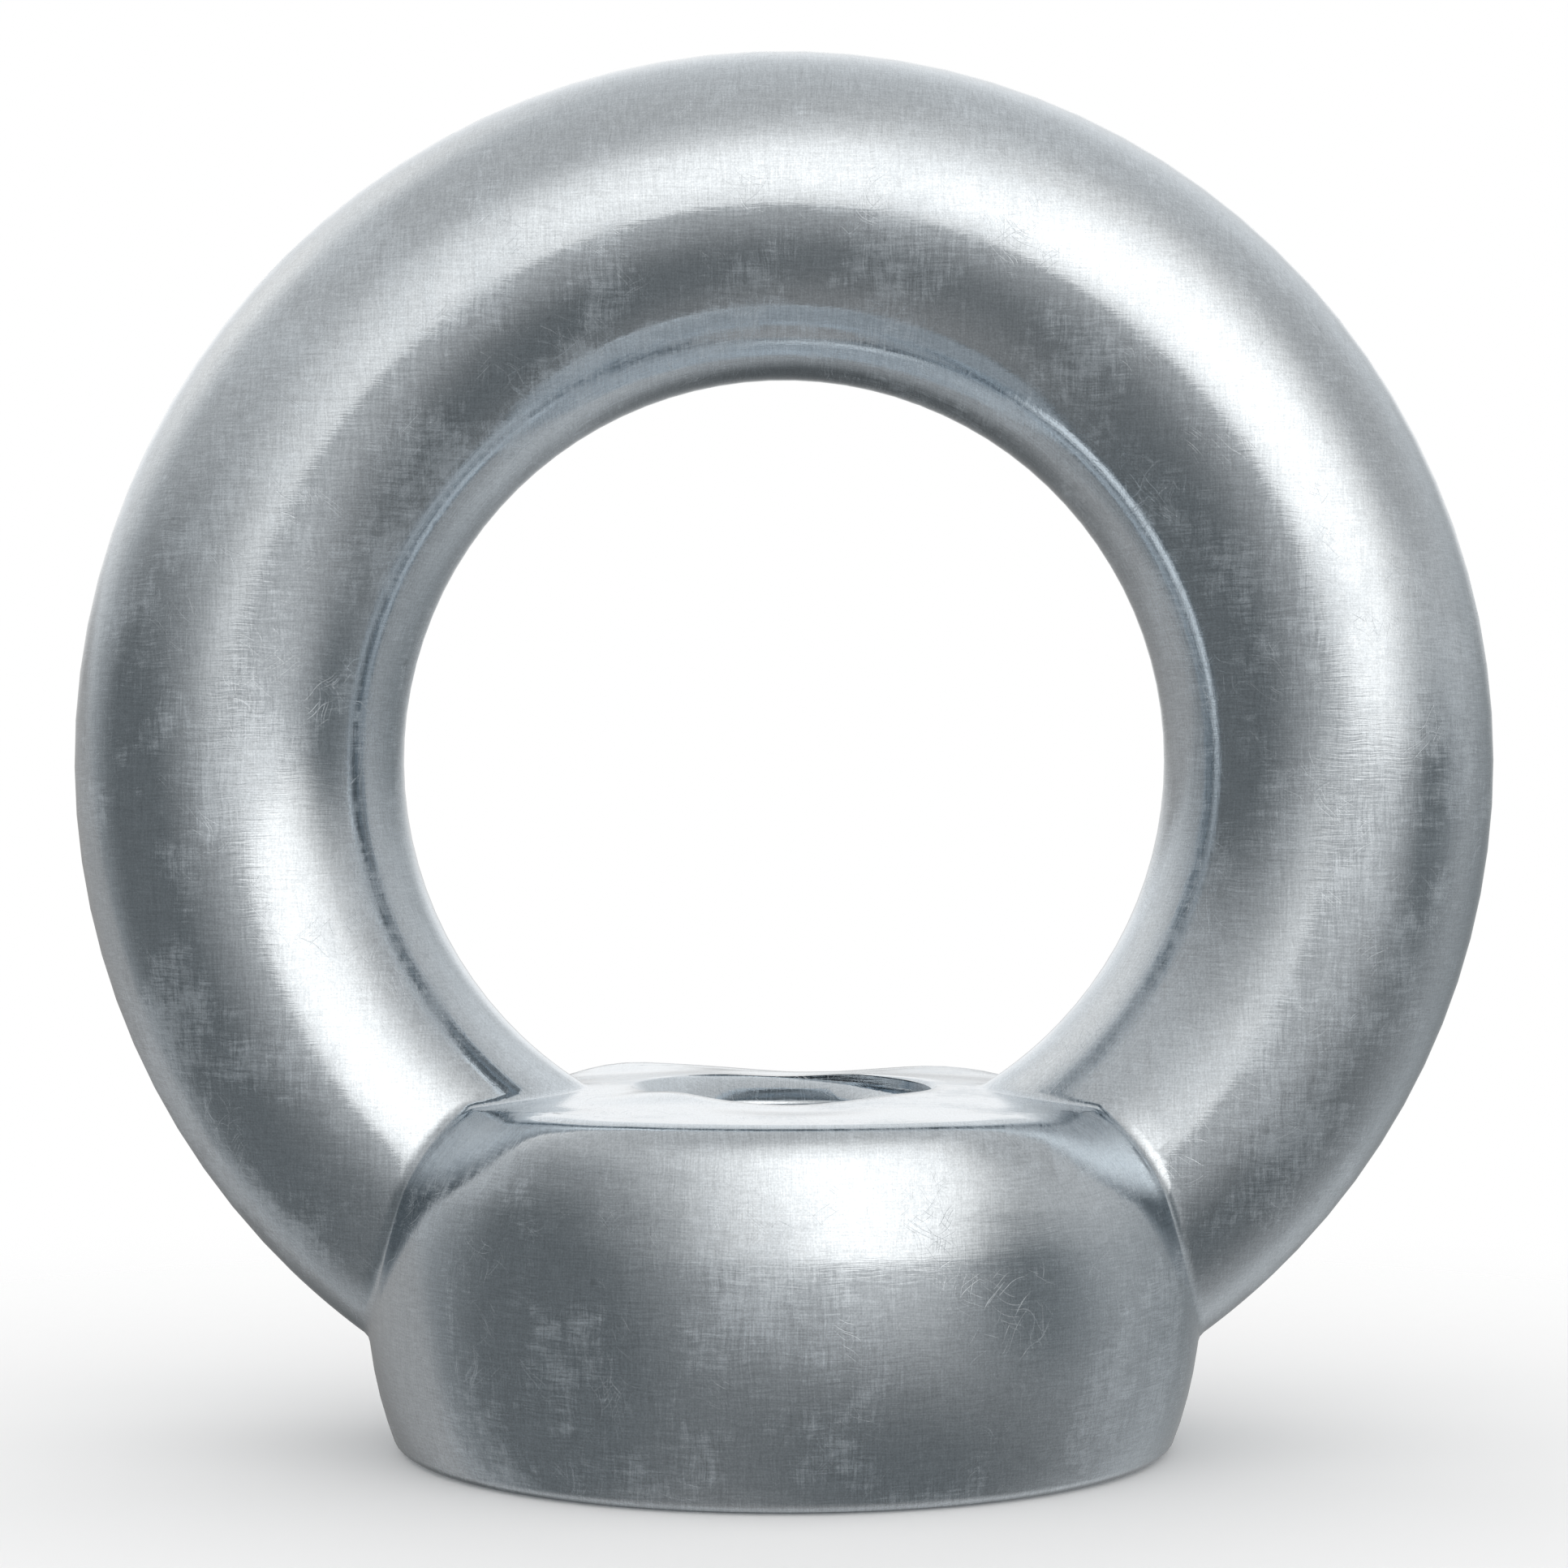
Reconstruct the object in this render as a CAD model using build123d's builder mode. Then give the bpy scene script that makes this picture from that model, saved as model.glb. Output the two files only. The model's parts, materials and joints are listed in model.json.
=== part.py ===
from build123d import *
import os

# Lifting eye nut for an M12 stud, forged in one piece: a round ring standing on a domed boss
# with a threaded bore. Lengths are in millimetres. +Z is the bore's axis, the ring lies in
# the XZ plane, and the origin is the centre of the foot.

# Ring: its lowest arc is buried in the boss, between the foot and the boss's top edge.
ring_outer_diameter = 54.0
eye_diameter = 29.1
ring_depth_below_foot = 1.0
eye_depth_below_top_edge = 1.67

# Boss: a ball cut off by the foot, rounded over at the shoulder, with a shallow crown.
# Its heights are taken down from the top edge.
ball_diameter = 31.7
ball_centre_drop = 7.12
shoulder_drop = 3.52
top_edge_inset = 3.15
crown_rise = 0.64
foot_edge_chamfer = 0.3
top_edge_round = 0.3

# Fillet where each leg of the ring grows out of the boss
root_fillet = 0.6

# Thread: the bore is drilled one pitch under size, and both its mouths are countersunk.
thread_diameter = 12.0
thread_pitch = 1.75
countersink_clearance = 0.6

os.makedirs("parts", exist_ok=True)

ring_mean_radius = (ring_outer_diameter + eye_diameter) / 4
section_radius = (ring_outer_diameter - eye_diameter) / 4
ring_centre_height = ring_outer_diameter / 2 - ring_depth_below_foot
ring_plane = Plane.XZ.shift_origin((0, 0, ring_centre_height))

ball_radius = ball_diameter / 2
top_edge_height = ring_centre_height - eye_diameter / 2 + eye_depth_below_top_edge
ball_centre_height = top_edge_height - ball_centre_drop
shoulder_height = top_edge_height - shoulder_drop
shoulder_rise = shoulder_height - ball_centre_height
crown_height = top_edge_height + crown_rise

foot_edge = ((ball_radius**2 - ball_centre_height**2) ** 0.5, 0)
ball_equator = (ball_radius, ball_centre_height)
shoulder_start = ((ball_radius**2 - shoulder_rise**2) ** 0.5, shoulder_height)
top_edge = (ball_radius - top_edge_inset, top_edge_height)
crown = (0, crown_height)

bore_radius = (thread_diameter - thread_pitch) / 2
countersink_radius = (thread_diameter + countersink_clearance) / 2

with BuildPart() as eye_nut:
    # Boss, turned about the bore's axis
    with BuildSketch(Plane.XZ) as boss_profile:
        with BuildLine():
            Line((0, 0), foot_edge)
            flank = ThreePointArc(foot_edge, ball_equator, shoulder_start)
            TangentArc(shoulder_start, top_edge, tangent=flank % 1)
            TangentArc(crown, top_edge, tangent=(1, 0))
            Line(crown, (0, 0))
        make_face()
        chamfer(boss_profile.vertices().sort_by_distance(foot_edge)[0], length=foot_edge_chamfer)
        fillet(boss_profile.vertices().sort_by_distance(top_edge)[0], radius=top_edge_round)
    revolve(axis=Axis.Z)

    # Ring: a round bar swept full circle, cut off level with the foot
    with BuildLine(ring_plane) as ring_path:
        CenterArc((0, 0), ring_mean_radius, start_angle=-90, arc_size=360)
    with BuildSketch(ring_path.line ^ 0):
        Circle(section_radius)
    sweep()
    split(bisect_by=Plane.XY, keep=Keep.TOP)

    # The curves where the bar meets the boss are the only free-form edges.
    fillet(eye_nut.edges().filter_by(GeomType.BSPLINE), radius=root_fillet)

    # Bore, drilled and countersunk from the crown and from the foot
    with Locations(Plane.XY.offset(crown_height), -Plane.XY):
        CounterSinkHole(bore_radius, countersink_radius, depth=crown_height, counter_sink_angle=90)

eye_nut.part.label = "eye_nut"
export_step(eye_nut.part, "parts/eye_nut.step")
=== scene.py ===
import json
from math import atan2, cos, radians, sin, sqrt

import bpy
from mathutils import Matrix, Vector


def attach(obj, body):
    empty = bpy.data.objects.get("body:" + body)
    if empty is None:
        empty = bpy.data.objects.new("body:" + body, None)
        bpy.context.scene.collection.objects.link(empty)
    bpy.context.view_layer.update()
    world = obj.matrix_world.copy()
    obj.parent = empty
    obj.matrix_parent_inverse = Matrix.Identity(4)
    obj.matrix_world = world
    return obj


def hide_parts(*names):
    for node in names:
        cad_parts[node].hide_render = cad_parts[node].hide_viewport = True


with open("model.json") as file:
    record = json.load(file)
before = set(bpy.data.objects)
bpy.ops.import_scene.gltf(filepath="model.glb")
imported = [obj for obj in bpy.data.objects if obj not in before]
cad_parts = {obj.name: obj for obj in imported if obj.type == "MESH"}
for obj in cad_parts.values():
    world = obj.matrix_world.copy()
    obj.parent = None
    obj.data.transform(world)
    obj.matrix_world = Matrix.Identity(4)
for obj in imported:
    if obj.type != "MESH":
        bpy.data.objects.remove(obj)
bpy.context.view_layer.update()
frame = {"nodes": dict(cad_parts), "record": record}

MM = 0.001

# Sizes read from the frame
mounts = {mount["name"]: mount for mount in frame["record"]["mounts"]}
eye_height = mounts["lifting_eye"]["pos_m"][2]
bore_radius = mounts["stud_thread"]["dims"]["r_mm"] * MM

# Thread: a right-hand groove, wide at the bore's wall and narrow at its root
THREAD_PITCH = 1.75 * MM
THREAD_ROOT_RADIUS = 6.0 * MM
THREAD_START = -2.5 * THREAD_PITCH
THREAD_TURNS = 11
THREAD_STEPS = 64
GROOVE_WIDTH = 0.75 * THREAD_PITCH
GROOVE_ROOT_SHARE = 0.23
CUTTER_OVERLAP = 0.45 * MM

# Machined edges: the worn roll round the foot, and the broken edges of the countersinks
EDGE_BREAK = 0.08 * MM
FOOT_ROLL = 0.16 * MM
FOOT_EDGE_REACH = 14 * MM
FOOT_EDGE_HEIGHT = 0.5 * MM
SHARP_ANGLE = radians(31)

# Top of the boss, and the mouth of the bore in it, which is drawn in a little
CROWN_HEIGHT = 13.1 * MM
CROWN_RADIUS = 12.4 * MM
CROWN_SAG = 0.2 * MM
LEVEL_NORMAL = 0.99
MOUTH_RADIUS = 6.6 * MM
MOUTH_EDGE = MOUTH_RADIUS + 0.1 * MM
MOUTH_DEPTH = 0.8 * MM
MOUTH_SHARE = 0.95

# Boss as it is in the frame, seen from the ball's centre: (reach, height) of each arc's centre
BALL_CENTRE_HEIGHT = 6.0 * MM
BALL_RADIUS = 15.85 * MM
SHOULDER_CENTRE = (10.264 * MM, 2.396 * MM)
SHOULDER_RADIUS = 5.31 * MM
SHOULDER_START = radians(13.12)
TOP_EDGE_REACH = 12.7 * MM

# Boss as the dies fill it out in front and behind, between the legs: a flatter flank and a
# tighter shoulder that runs up to a flat rim. Its angles are from the ball's centre too.
FULL_FLANK_CENTRE = (-4.95 * MM, 0.9 * MM)
FULL_FLANK_RADIUS = 20.8 * MM
FULL_SHOULDER_CENTRE = (13.327 * MM, 5.716 * MM)
FULL_SHOULDER_RADIUS = 1.9 * MM
FULL_SHOULDER_START = radians(22.2)
FULL_SHOULDER_END = radians(30)
FULL_RIM_HEIGHT = 7.34 * MM
FULL_RIM_END = radians(30.5)
FULL_RIM_START_REACH = TOP_EDGE_REACH - 0.3 * MM
FULL_TOP_RISE = 0.15 * MM
FULL_TOP_START_REACH = 8 * MM

# Where the boss is filled out: whole within the first angle from the front or the back, and
# fading out to the second, above the foot's edge and below the ring
FULL_WITHIN = radians(23)
FULL_REACH = radians(59)
FULL_BOTTOM = 0.6 * MM
FULL_TOP = 14 * MM

# Extra loops across the shoulder, in millimetres above the foot, and the band that they cut
SHOULDER_LOOPS = [9.0, 10.2, 10.8, 11.4, 11.9, 12.2, 12.4, 12.55, 12.66, 12.72, 12.78, 12.85, 12.95, 13.05]
LOOP_BAND_TOP = 13.2 * MM
LOOP_BAND_INSIDE = 12 * MM

# How far the boss's top rises or sinks where the hammered flash was dressed off: the place
# (x, y), the rise and the reach, in millimetres
TOP_WAVES = [
    ((0.3, -6.3), -0.28, 5.0),
    ((-4.4, -4.6), 0.12, 2.5),
    ((0.0, 6.3), -0.16, 3.5),
    ((1.0, 13.8), -0.34, 5.5),
    ((-7.0, 12.2), 0.22, 4.5),
    ((8.0, 11.5), 0.10, 4.5),
    ((-9.5, -10.5), 0.20, 4.0),
    ((9.5, -10.5), 0.14, 4.0),
]

SMOOTH_ANGLE = radians(30)
MERGE_DISTANCE = 0.001 * MM


# ---------------------------------------------------------------- modelling helpers

def deselect_all():
    bpy.ops.object.select_all(action="DESELECT")


def make_active(piece):
    deselect_all()
    piece.select_set(True)
    bpy.context.view_layer.objects.active = piece


def apply_modifier(piece, kind, **settings):
    make_active(piece)
    modifier = piece.modifiers.new(kind.lower(), kind)
    for name, value in settings.items():
        setattr(modifier, name, value)
    bpy.ops.object.modifier_apply(modifier=modifier.name)


def select_where(piece, kind, test):
    """Selects, in edit mode, the piece's vertices, edges or faces that pass the test."""
    modes = {"vertices": "VERT", "edges": "EDGE", "polygons": "FACE"}
    bpy.ops.mesh.select_mode(type=modes[kind])
    bpy.ops.mesh.select_all(action="DESELECT")
    bpy.ops.object.mode_set(mode="OBJECT")
    for item in getattr(piece.data, kind):
        item.select = test(item)
    bpy.ops.object.mode_set(mode="EDIT")


def from_axis(point):
    """Distance of a point from the bore's axis."""
    return Vector((point.x, point.y)).length


def from_front(point):
    """Angle about the bore's axis from the boss's front or back, whichever is nearer."""
    return atan2(abs(point.x), abs(point.y))


def ease(value, start, end):
    """Smooth step from 0 at the start to 1 at the end."""
    t = min(max((value - start) / (end - start), 0), 1)
    return t * t * (3 - 2 * t)


# ---------------------------------------------------------------- the eye nut

def copy_of_cad(node_name, piece_name):
    """A copy of a CAD node with its loose triangles merged into one skin."""
    source = frame["nodes"][node_name]
    piece = bpy.data.objects.new(piece_name, source.data.copy())
    piece.data.name = piece_name
    bpy.context.scene.collection.objects.link(piece)
    make_active(piece)
    bpy.ops.mesh.customdata_custom_splitnormals_clear()
    bpy.ops.object.mode_set(mode="EDIT")
    bpy.ops.mesh.select_all(action="SELECT")
    bpy.ops.mesh.remove_doubles(threshold=MERGE_DISTANCE)
    bpy.ops.object.mode_set(mode="OBJECT")
    return piece


def middle_of(piece, edge):
    return sum((piece.data.vertices[v].co for v in edge.vertices), Vector()) / 2


def in_mouth(piece, edge):
    return from_axis(middle_of(piece, edge)) < MOUTH_EDGE


def round_foot(piece, edge):
    middle = middle_of(piece, edge)
    return middle.z < FOOT_EDGE_HEIGHT and from_axis(middle) > FOOT_EDGE_REACH


def bevel_sharp_edges(piece, place, width, segments):
    """Bevels, in edit mode, the sharp edges that the place's test lets through."""
    bpy.ops.mesh.select_mode(type="EDGE")
    bpy.ops.mesh.select_all(action="DESELECT")
    bpy.ops.mesh.edges_select_sharp(sharpness=SHARP_ANGLE)
    bpy.ops.object.mode_set(mode="OBJECT")
    sharp = {edge.index for edge in piece.data.edges if edge.select}
    bpy.ops.object.mode_set(mode="EDIT")
    select_where(piece, "edges", lambda edge: edge.index in sharp and place(piece, edge))
    bpy.ops.mesh.bevel(offset=width, segments=segments, affect="EDGES", clamp_overlap=False)


def round_machined_edges(piece):
    """Breaks the sharp edges of the countersinks, and rolls the worn edge of the foot."""
    make_active(piece)
    bpy.ops.object.mode_set(mode="EDIT")
    bevel_sharp_edges(piece, in_mouth, EDGE_BREAK, 2)
    bevel_sharp_edges(piece, round_foot, FOOT_ROLL, 3)
    bpy.ops.object.mode_set(mode="OBJECT")


def reach_to(centre, radius, angle):
    """Distance from the ball's centre, at that angle above level, to the far side of a circle."""
    along = centre[0] * cos(angle) + centre[1] * sin(angle)
    return along + sqrt(along**2 - centre[0] ** 2 - centre[1] ** 2 + radius**2)


def forged_reach(angle):
    """The frame's own profile, below its top edge."""
    if angle < SHOULDER_START:
        return BALL_RADIUS
    return reach_to(SHOULDER_CENTRE, SHOULDER_RADIUS, angle)


def full_reach(angle):
    """The filled-out profile at the middle of the front and the back."""
    if angle < FULL_SHOULDER_START:
        return reach_to(FULL_FLANK_CENTRE, FULL_FLANK_RADIUS, angle)
    rim = FULL_RIM_HEIGHT / sin(angle)
    if angle < FULL_SHOULDER_END:
        return min(reach_to(FULL_SHOULDER_CENTRE, FULL_SHOULDER_RADIUS, angle), rim)
    return rim


def in_loop_band(face):
    middle = face.center
    return (from_front(middle) < FULL_REACH and middle.z < LOOP_BAND_TOP
            and from_axis(middle) > LOOP_BAND_INSIDE)


def fill_out_boss(piece):
    """Reshapes the boss's front and back, and leaves it as it is where the legs grow out."""
    make_active(piece)
    bpy.ops.object.mode_set(mode="EDIT")
    for height in SHOULDER_LOOPS:
        select_where(piece, "polygons", in_loop_band)
        bpy.ops.mesh.bisect(plane_co=(0, 0, height * MM), plane_no=(0, 0, 1))
    bpy.ops.object.mode_set(mode="OBJECT")
    for vertex in piece.data.vertices:
        x, y, z = vertex.co
        level = sqrt(x * x + y * y)
        share = ease(from_front(vertex.co), FULL_REACH, FULL_WITHIN)
        if share == 0 or level < MOUTH_RADIUS or not FULL_BOTTOM <= z <= FULL_TOP:
            continue
        angle = atan2(z - BALL_CENTRE_HEIGHT, level)
        if level > FULL_RIM_START_REACH and angle < FULL_RIM_END:
            start = forged_reach(angle)
            reach = start + share * (full_reach(angle) - start)
            outward = reach * cos(angle)
            vertex.co = (x / level * outward, y / level * outward, BALL_CENTRE_HEIGHT + reach * sin(angle))
        else:
            vertex.co.z += share * FULL_TOP_RISE * ease(level, FULL_TOP_START_REACH, TOP_EDGE_REACH)


def on_crown(face):
    """True for the faces of the boss's top, between the countersink and the top edge."""
    return (face.normal.z > LEVEL_NORMAL and face.center.z > CROWN_HEIGHT - CROWN_SAG
            and from_axis(face.center) < CROWN_RADIUS)


def in_upper_mouth(vertex):
    return abs(vertex.co.z - CROWN_HEIGHT) < MOUTH_DEPTH and from_axis(vertex.co) < MOUTH_EDGE


def dress_top(piece):
    """Gives the boss's flat top the slight waves of a hand-dressed forging."""
    make_active(piece)
    bpy.ops.object.mode_set(mode="EDIT")
    select_where(piece, "vertices", in_upper_mouth)
    bpy.ops.transform.resize(value=(MOUTH_SHARE, MOUTH_SHARE, 1), center_override=(0, 0, CROWN_HEIGHT))
    select_where(piece, "polygons", on_crown)
    bpy.ops.mesh.subdivide(number_cuts=2)
    for (x, y), rise, reach in TOP_WAVES:
        place = Vector((x * MM, y * MM, CROWN_HEIGHT))
        bpy.ops.object.mode_set(mode="OBJECT")
        nearest = min(piece.data.vertices, key=lambda vertex: (vertex.co - place).length).index
        bpy.ops.object.mode_set(mode="EDIT")
        select_where(piece, "vertices", lambda vertex: vertex.index == nearest)
        bpy.ops.transform.translate(
            value=(0, 0, rise * MM), use_proportional_edit=True, use_proportional_connected=True,
            proportional_edit_falloff="SMOOTH", proportional_size=reach * MM,
        )
    bpy.ops.object.mode_set(mode="OBJECT")


def make_thread_cutter():
    """A right-hand helical bar with the section of the thread's groove, longer than the bore."""
    inner = bore_radius - CUTTER_OVERLAP
    deselect_all()
    bpy.ops.mesh.primitive_plane_add(size=1, rotation=(radians(90), 0, 0))
    cutter = bpy.context.object
    cutter.name = "thread_cutter"
    bpy.ops.object.transform_apply(location=False, rotation=True, scale=False)
    bpy.ops.object.mode_set(mode="EDIT")
    bpy.ops.mesh.select_all(action="SELECT")
    bpy.ops.transform.resize(value=(THREAD_ROOT_RADIUS - inner, 1, GROOVE_WIDTH))
    bpy.ops.transform.translate(value=((THREAD_ROOT_RADIUS + inner) / 2, 0, THREAD_START))
    bpy.ops.mesh.delete(type="ONLY_FACE")
    select_where(cutter, "vertices", lambda vertex: vertex.co.x > bore_radius)
    bpy.ops.transform.resize(value=(1, 1, GROOVE_ROOT_SHARE))
    bpy.ops.object.mode_set(mode="OBJECT")
    apply_modifier(
        cutter, "SCREW", axis="Z", angle=radians(360), screw_offset=THREAD_PITCH, iterations=THREAD_TURNS,
        steps=THREAD_STEPS, render_steps=THREAD_STEPS, use_normal_calculate=True,
    )
    bpy.ops.object.mode_set(mode="EDIT")
    bpy.ops.mesh.select_mode(type="EDGE")
    bpy.ops.mesh.select_all(action="DESELECT")
    bpy.ops.mesh.select_non_manifold()
    bpy.ops.mesh.edge_face_add()
    bpy.ops.mesh.select_all(action="SELECT")
    bpy.ops.mesh.normals_make_consistent(inside=False)
    bpy.ops.object.mode_set(mode="OBJECT")
    return cutter


def cut_thread(piece):
    cutter = make_thread_cutter()
    apply_modifier(piece, "BOOLEAN", operation="DIFFERENCE", solver="EXACT", object=cutter)
    bpy.data.objects.remove(cutter)


def clean_mesh(piece):
    """Merges what the cut left too close together."""
    make_active(piece)
    bpy.ops.object.mode_set(mode="EDIT")
    bpy.ops.mesh.select_all(action="SELECT")
    bpy.ops.mesh.remove_doubles(threshold=MERGE_DISTANCE)
    bpy.ops.mesh.dissolve_degenerate(threshold=MERGE_DISTANCE)
    bpy.ops.object.mode_set(mode="OBJECT")


nut = copy_of_cad("eye_nut", "forged_eye_nut")
round_machined_edges(nut)
fill_out_boss(nut)
dress_top(nut)
cut_thread(nut)
clean_mesh(nut)
bpy.ops.object.shade_smooth_by_angle(angle=SMOOTH_ANGLE)


# ---------------------------------------------------------------- node helpers

def feed(tree, value, socket):
    """Links a socket, or sets a plain value."""
    if isinstance(value, bpy.types.NodeSocket):
        tree.links.new(value, socket)
    else:
        socket.default_value = value


def maths(tree, operation, first, second=0.0, clamp=False):
    node = tree.nodes.new("ShaderNodeMath")
    node.operation = operation
    node.use_clamp = clamp
    feed(tree, first, node.inputs[0])
    feed(tree, second, node.inputs[1])
    return node.outputs["Value"]


def remap(tree, value, start, end, first=0.0, last=1.0, smooth=True):
    node = tree.nodes.new("ShaderNodeMapRange")
    node.interpolation_type = "SMOOTHSTEP" if smooth else "LINEAR"
    feed(tree, value, node.inputs["Value"])
    feed(tree, start, node.inputs["From Min"])
    feed(tree, end, node.inputs["From Max"])
    feed(tree, first, node.inputs["To Min"])
    feed(tree, last, node.inputs["To Max"])
    return node.outputs["Result"]


def split_axes(tree, vector):
    node = tree.nodes.new("ShaderNodeSeparateXYZ")
    tree.links.new(vector, node.inputs["Vector"])
    return node.outputs


def mix_colours(tree, blend, factor, first, second):
    node = tree.nodes.new("ShaderNodeMix")
    node.data_type = "RGBA"
    node.blend_type = blend
    feed(tree, factor, node.inputs["Factor"])
    feed(tree, first, node.inputs[6])
    feed(tree, second, node.inputs[7])
    return node.outputs[2]


# ---------------------------------------------------------------- material

def noise(tree, vector, grain, turn=(0, 0, 0), shift=(0, 0, 0), detail=2.0, roughness=0.5):
    """Noise with grains of the given size in millimetres along the turned axes, about 0.5 on average."""
    place = tree.nodes.new("ShaderNodeMapping")
    place.vector_type = "TEXTURE"
    place.inputs["Location"].default_value = [value * MM for value in shift]
    place.inputs["Rotation"].default_value = [radians(value) for value in turn]
    place.inputs["Scale"].default_value = [value * MM for value in grain]
    tree.links.new(vector, place.inputs["Vector"])
    node = tree.nodes.new("ShaderNodeTexNoise")
    node.inputs["Scale"].default_value = 1
    node.inputs["Detail"].default_value = detail
    node.inputs["Roughness"].default_value = roughness
    tree.links.new(place.outputs["Vector"], node.inputs["Vector"])
    return node.outputs["Fac"]


def wander(tree, vector, grain, amount):
    """Pushes the coordinates about, in millimetres, so that straight streaks curve."""
    node = tree.nodes.new("ShaderNodeTexNoise")
    node.inputs["Scale"].default_value = 1 / (grain * MM)
    node.inputs["Detail"].default_value = 1
    tree.links.new(vector, node.inputs["Vector"])
    push = tree.nodes.new("ShaderNodeVectorMath")
    push.operation = "MULTIPLY_ADD"
    tree.links.new(node.outputs["Color"], push.inputs[0])
    push.inputs[1].default_value = (amount * MM, amount * MM, amount * MM)
    tree.links.new(vector, push.inputs[2])
    return push.outputs["Vector"]


def brushing(tree, vector, normal, width, length, **settings):
    """Crossed hairs that run along the surface's own level and upright directions on every side."""
    facings = split_axes(tree, normal)
    grains = {
        "X": (width, length, length),
        "Y": (length, width, length),
        "Z": (length, length, width),
    }
    total = 0.0
    for axis, grain in grains.items():
        facing = maths(tree, "MULTIPLY", facings[axis], facings[axis])
        weight = maths(tree, "SUBTRACT", 0.5, maths(tree, "MULTIPLY", facing, 0.5))
        hairs = noise(tree, vector, grain, **settings)
        total = maths(tree, "ADD", total, maths(tree, "MULTIPLY", hairs, weight))
    return total


def add_share(tree, total, pattern, share, average=0.5):
    """Adds a share of a pattern to the total, up or down from the pattern's average."""
    above = maths(tree, "SUBTRACT", pattern, average)
    return maths(tree, "ADD", total, maths(tree, "MULTIPLY", above, share))


def zinc_plated_steel():
    material = bpy.data.materials.new("zinc_plated_steel")
    material.use_nodes = True
    tree = material.node_tree
    shader = tree.nodes["Principled BSDF"]
    coordinates = tree.nodes.new("ShaderNodeTexCoord")
    vector = coordinates.outputs["Object"]
    normal = coordinates.outputs["Normal"]

    # Crossed hairs that the polishing belt leaves, and a fine grain
    wavering = wander(tree, vector, grain=1.5, amount=0.25)
    fine_hairs = brushing(tree, wavering, normal, width=0.05, length=0.8, detail=1.5)
    broad_hairs = brushing(tree, wavering, normal, width=0.2, length=1.7, detail=2.5, roughness=0.65)
    grain = noise(tree, vector, (0.07, 0.07, 0.07), detail=1.0)

    # Dull bloom of the zinc: small cloudy patches in some places, frayed along the hairs
    clouds = noise(tree, vector, (3.2, 3.2, 4.2), shift=(240, 30, 90), detail=5.0, roughness=0.68)
    places = noise(tree, vector, (9, 9, 8), shift=(240, 30, 90), detail=1.0)
    frayed = add_share(tree, clouds, places, 0.7)
    frayed = add_share(tree, frayed, broad_hairs, 0.55)
    frayed = add_share(tree, frayed, fine_hairs, 0.35)
    bloom = remap(tree, frayed, 0.47, 0.70)

    # Thin curved scratches from handling, at three slants, where the piece gets rubbed
    curved = wander(tree, vector, grain=2.2, amount=1.6)
    scratches = 0.0
    for slant, shift in ((38, 0), (-47, 11), (84, 23)):
        lines = noise(tree, curved, (1.6, 1.6, 0.04), turn=(0, slant, 0), shift=(shift, 0, 0), detail=0.0)
        scratches = maths(tree, "ADD", scratches, remap(tree, lines, 0.71, 0.80))
    rubbed = remap(tree, noise(tree, vector, (3, 3, 3), shift=(40, 0, 0), detail=3.0), 0.48, 0.68)
    scratches = maths(tree, "MULTIPLY", scratches, rubbed, clamp=True)

    # Few small dark stains
    spots = noise(tree, vector, (1.1, 1.1, 1.1), shift=(70, 0, 0), detail=3.0, roughness=0.6)
    stains = remap(tree, spots, 0.70, 0.80)

    # Bluish zinc, lighter and darker with the hairs, the grain and the stains
    tone = remap(tree, fine_hairs, 0.3, 0.7, 0.82, 1.14, smooth=False)
    tone = maths(tree, "MULTIPLY", tone, remap(tree, broad_hairs, 0.3, 0.7, 0.95, 1.05, smooth=False))
    tone = maths(tree, "MULTIPLY", tone, remap(tree, grain, 0.3, 0.7, 0.90, 1.10, smooth=False))
    tone = maths(tree, "MULTIPLY", tone, remap(tree, stains, 0, 1, 1.0, 0.78, smooth=False))
    grey = tree.nodes.new("ShaderNodeCombineColor")
    for channel in ("Red", "Green", "Blue"):
        tree.links.new(tone, grey.inputs[channel])
    colour = mix_colours(tree, "MULTIPLY", 1, (0.58, 0.635, 0.68, 1), grey.outputs["Color"])
    tree.links.new(colour, shader.inputs["Base Color"])

    # Polished, and duller in the bloom and the scratches
    roughness = remap(tree, fine_hairs, 0.35, 0.65, 0.07, 0.12, smooth=False)
    roughness = maths(tree, "ADD", roughness, maths(tree, "MULTIPLY", bloom, 0.14))
    roughness = maths(tree, "ADD", roughness, maths(tree, "MULTIPLY", scratches, 0.12))
    tree.links.new(roughness, shader.inputs["Roughness"])
    dullness = maths(tree, "ADD", bloom, maths(tree, "MULTIPLY", scratches, 0.7), clamp=True)
    metallic = remap(tree, dullness, 0, 1, 1.0, 0.82, smooth=False)
    tree.links.new(metallic, shader.inputs["Metallic"])

    # Hairs and scratches stand a few thousandths of a millimetre deep
    height = maths(tree, "ADD", fine_hairs, maths(tree, "MULTIPLY", broad_hairs, 1.5))
    height = maths(tree, "SUBTRACT", height, maths(tree, "MULTIPLY", scratches, 0.8))
    bump = tree.nodes.new("ShaderNodeBump")
    bump.inputs["Strength"].default_value = 1
    bump.inputs["Distance"].default_value = 0.003 * MM
    tree.links.new(height, bump.inputs["Height"])
    tree.links.new(bump.outputs["Normal"], shader.inputs["Normal"])
    return material


nut.data.materials.clear()
nut.data.materials.append(zinc_plated_steel())
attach(nut, "root")
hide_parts("eye_nut")


# ---------------------------------------------------------------- studio

# Tints of the light tent's cloth and of the cards in it
LAMP_TINT = (1.05, 1.0, 0.955)
WALL_TINT = (1.025, 1.0, 0.98)
PLAIN_TINT = (1.0, 1.0, 1.0)
DARK_TINT = (0.95, 1.0, 1.02)

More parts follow.
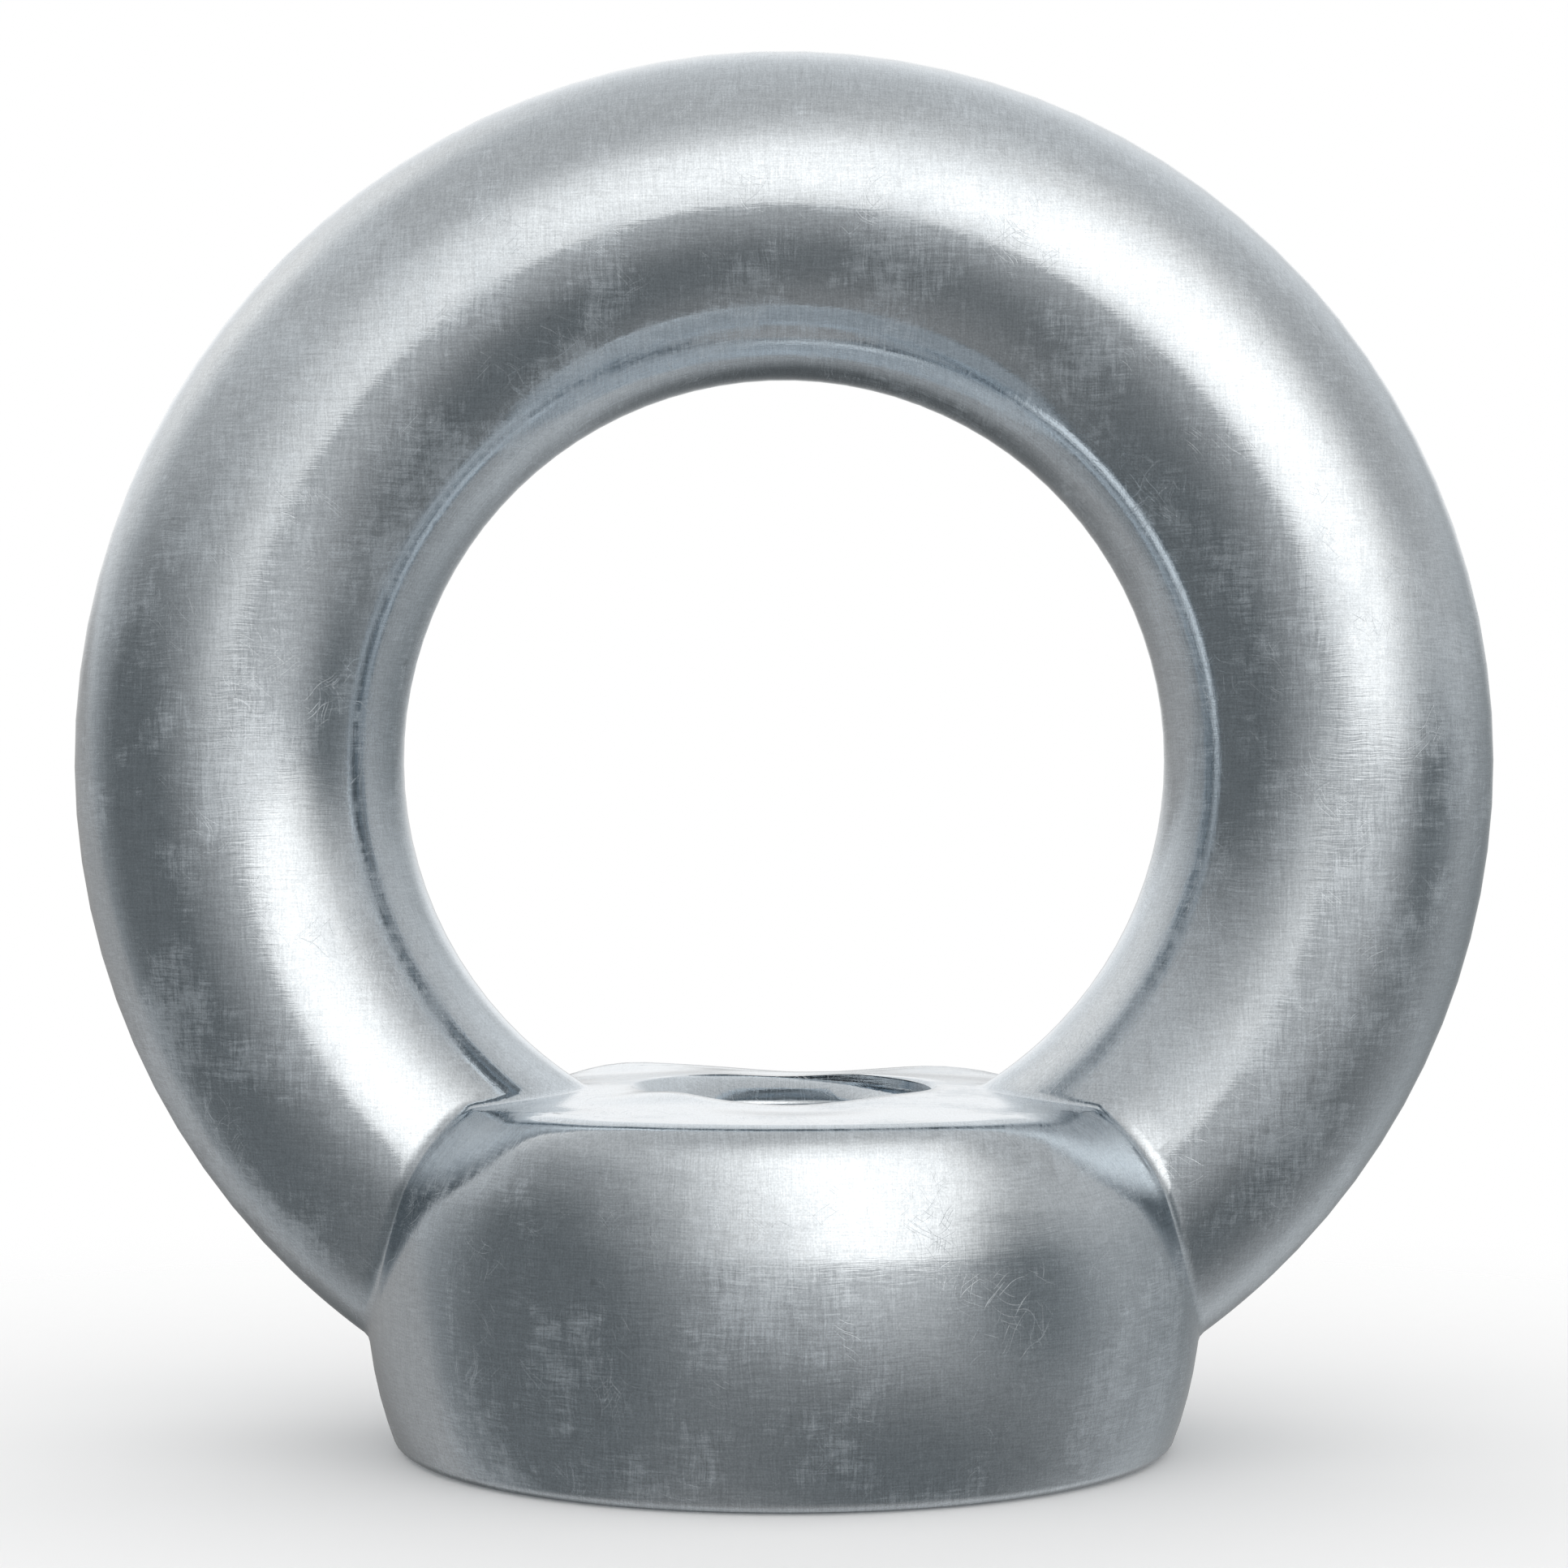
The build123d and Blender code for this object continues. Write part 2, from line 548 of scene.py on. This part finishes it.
# Brightness of the tent: (how far up from its bottom to its top, level)
TENT_LEVELS = ((0.18, 0.32), (0.5, 0.74), (0.93, 0.62))
TENT_RADIUS = 5

# Height above the horizon, as a share of the tent's radius, over which the key light fades in
LAMP_FOOT = sin(radians(2.5))


def soft_light_group():
    """Mask of one soft light on the tent: 1 inside an ellipse of directions, fading over its edge."""
    group = bpy.data.node_groups.new("soft_light", "ShaderNodeTree")
    sockets = [
        ("Direction", "NodeSocketVector", (0, 0, 1)),
        ("Azimuth", "NodeSocketFloat", 0),
        ("Elevation", "NodeSocketFloat", 0),
        ("Half Width", "NodeSocketFloat", 20),
        ("Half Height", "NodeSocketFloat", 20),
        ("Softness", "NodeSocketFloat", 0.5),
    ]
    for name, kind, value in sockets:
        socket = group.interface.new_socket(name, in_out="INPUT", socket_type=kind)
        socket.default_value = value
    group.interface.new_socket("Mask", in_out="OUTPUT", socket_type="NodeSocketFloat")
    given = group.nodes.new("NodeGroupInput").outputs
    result = group.nodes.new("NodeGroupOutput")

    def turn(vector, axis, degrees, sign):
        node = group.nodes.new("ShaderNodeVectorRotate")
        node.rotation_type = axis
        group.links.new(vector, node.inputs["Vector"])
        angle = maths(group, "MULTIPLY", maths(group, "RADIANS", degrees), sign)
        group.links.new(angle, node.inputs["Angle"])
        return node.outputs["Vector"]

    def in_half_widths(offset, half_angle):
        """An offset across the light, as a share of its half width or half height, squared."""
        share = maths(group, "DIVIDE", offset, maths(group, "SINE", maths(group, "RADIANS", half_angle)))
        return maths(group, "MULTIPLY", share, share)

    # Turned so that the light's middle lies straight ahead, at -Y
    level = turn(given["Direction"], "Z_AXIS", given["Azimuth"], -1)
    facing = split_axes(group, turn(level, "X_AXIS", given["Elevation"], 1))
    across = in_half_widths(facing["X"], given["Half Width"])
    upright = in_half_widths(facing["Z"], given["Half Height"])
    distance = maths(group, "SQRT", maths(group, "ADD", across, upright))
    inner = maths(group, "SUBTRACT", 1, given["Softness"])
    outer = maths(group, "ADD", 1, given["Softness"])
    shape = remap(group, distance, inner, outer, 1, 0)
    ahead = remap(group, facing["Y"], -0.2, 0.2, 1, 0)
    group.links.new(maths(group, "MULTIPLY", shape, ahead), result.inputs["Mask"])
    return group


def tent_material():
    """The tent's glow, with its lights, walls and dark cards painted by their direction from the eye."""
    soft_light = soft_light_group()
    material = bpy.data.materials.new("light_tent")
    material.use_nodes = True
    tree = material.node_tree
    tree.nodes.clear()
    coordinates = tree.nodes.new("ShaderNodeTexCoord")
    normalize = tree.nodes.new("ShaderNodeVectorMath")
    normalize.operation = "NORMALIZE"
    tree.links.new(coordinates.outputs["Object"], normalize.inputs[0])
    direction = normalize.outputs["Vector"]
    upward = split_axes(tree, direction)["Z"]

    ramp = tree.nodes.new("ShaderNodeValToRGB")
    tree.links.new(remap(tree, upward, -1, 1, smooth=False), ramp.inputs["Fac"])
    ramp.color_ramp.interpolation = "EASE"
    stops = ramp.color_ramp.elements
    stops.new(0.5)
    for stop, (place, level) in zip(stops, TENT_LEVELS):
        stop.position = place
        stop.color = (*(level * share for share in WALL_TINT), 1)
    colour = ramp.outputs["Color"]

    def panel(azimuth, elevation, half_width, half_height, softness, brightness,
              tint=WALL_TINT, floor_cut=False):
        """Paints a light or a card: degrees round from the front and up, its half sizes in degrees."""
        nonlocal colour
        mask = tree.nodes.new("ShaderNodeGroup")
        mask.node_tree = soft_light
        tree.links.new(direction, mask.inputs["Direction"])
        mask.inputs["Azimuth"].default_value = azimuth
        mask.inputs["Elevation"].default_value = elevation
        mask.inputs["Half Width"].default_value = half_width
        mask.inputs["Half Height"].default_value = half_height
        mask.inputs["Softness"].default_value = softness
        amount = mask.outputs["Mask"]
        if floor_cut:
            amount = maths(tree, "MULTIPLY", amount, remap(tree, upward, 0, LAMP_FOOT))
        card = (*(brightness * share for share in tint), 1)
        colour = mix_colours(tree, "MIX", amount, colour, card)

    # Key light over the viewer's right shoulder: a broad glow with a bright core, down to the floor
    panel(40, 20, 30, 40, 0.6, 1.05, LAMP_TINT, floor_cut=True)
    panel(17, 20, 30, 25, 0.95, 1.85, LAMP_TINT, floor_cut=True)
    # Dark room to the left and to the right
    panel(-80, -16, 58, 39, 0.4, 0.19, DARK_TINT)
    panel(75, -5, 25, 15, 0.7, 0.23, DARK_TINT)
    # White wall behind, with a grey gap to its right
    panel(172, 0, 50, 50, 0.55, 1.15, PLAIN_TINT)
    panel(145, -5, 35, 25, 0.95, 0.30, DARK_TINT)
    # Small lamp high on the left, a little behind
    panel(-132, 36, 15, 15, 0.95, 1.10, LAMP_TINT)
    # Darker floor in front, behind on the left, and straight behind
    panel(38, -42, 52, 22, 0.95, 0.19, DARK_TINT)
    panel(-147, -16, 35, 25, 0.15, 0.44)
    panel(185, -31, 26, 24, 0.75, 0.13, DARK_TINT)
    # Grey card on the right, and the white wall's foot, which the boss's top mirrors
    panel(90, 30, 22, 16, 0.95, 0.55)
    panel(180, 11, 25, 9, 0.6, 1.1, PLAIN_TINT)

    emission = tree.nodes.new("ShaderNodeEmission")
    tree.links.new(colour, emission.inputs["Color"])
    output = tree.nodes.new("ShaderNodeOutputMaterial")
    tree.links.new(emission.outputs["Emission"], output.inputs["Surface"])
    material.cycles.emission_sampling = "NONE"
    return material


def light_tent():
    """A tent that only the metal mirrors, so that it adds no light of its own to the floor."""
    deselect_all()
    bpy.ops.mesh.primitive_uv_sphere_add(segments=96, ring_count=48, radius=TENT_RADIUS)
    tent = bpy.context.object
    tent.name = "light_tent"
    tent.location = (0, 0, eye_height)
    bpy.ops.object.shade_smooth()
    tent.data.materials.append(tent_material())
    tent.visible_camera = False
    tent.visible_diffuse = False
    tent.visible_shadow = False
    tent.visible_transmission = False
    return tent


# Floor: pale under the nut, where its shadow falls, and fading out into the white round it
FLOOR_RADIUS = 0.4
FLOOR_PALE = 0.97
FLOOR_FADE_START = 0.02
FLOOR_FADE_END = 0.08


def pale_floor_material():
    material = bpy.data.materials.new("pale_floor")
    material.use_nodes = True
    tree = material.node_tree
    shader = tree.nodes["Principled BSDF"]
    shader.inputs["Base Color"].default_value = (FLOOR_PALE, FLOOR_PALE, FLOOR_PALE, 1)
    shader.inputs["Roughness"].default_value = 1
    shader.inputs["Specular IOR Level"].default_value = 0
    coordinates = tree.nodes.new("ShaderNodeTexCoord")
    radius = tree.nodes.new("ShaderNodeVectorMath")
    radius.operation = "LENGTH"
    tree.links.new(coordinates.outputs["Object"], radius.inputs[0])
    alpha = remap(tree, radius.outputs["Value"], FLOOR_FADE_START, FLOOR_FADE_END, 1, 0)
    tree.links.new(alpha, shader.inputs["Alpha"])
    return material


def studio_floor():
    deselect_all()
    bpy.ops.mesh.primitive_circle_add(vertices=128, radius=FLOOR_RADIUS, fill_type="NGON")
    floor = bpy.context.object
    floor.name = "floor"
    floor.data.materials.append(pale_floor_material())
    floor.visible_glossy = False
    return floor


def white_world():
    """Plain white all round, which lights the nut and shows behind it."""
    world = bpy.data.worlds.new("white_studio")
    world.use_nodes = True
    world.cycles.sampling_method = "NONE"
    background = world.node_tree.nodes["Background"]
    background.inputs["Color"].default_value = (1, 1, 1, 1)
    background.inputs["Strength"].default_value = 1
    return world


tent = light_tent()
floor = studio_floor()
bpy.context.scene.world = white_world()

# Camera: level, square to the ring, just under the middle of the eye
CAMERA_DISTANCE = 142.97 * MM
CAMERA_DROP = 0.9 * MM

camera_data = bpy.data.cameras.new("camera")
camera_data.sensor_width = 36
camera_data.lens = 85.9
camera = bpy.data.objects.new("camera", camera_data)
bpy.context.scene.collection.objects.link(camera)
camera.location = (0, -CAMERA_DISTANCE, eye_height - CAMERA_DROP)
camera.rotation_euler = (radians(90), 0, 0)
bpy.context.scene.camera = camera

bpy.context.scene.view_settings.view_transform = "Standard"
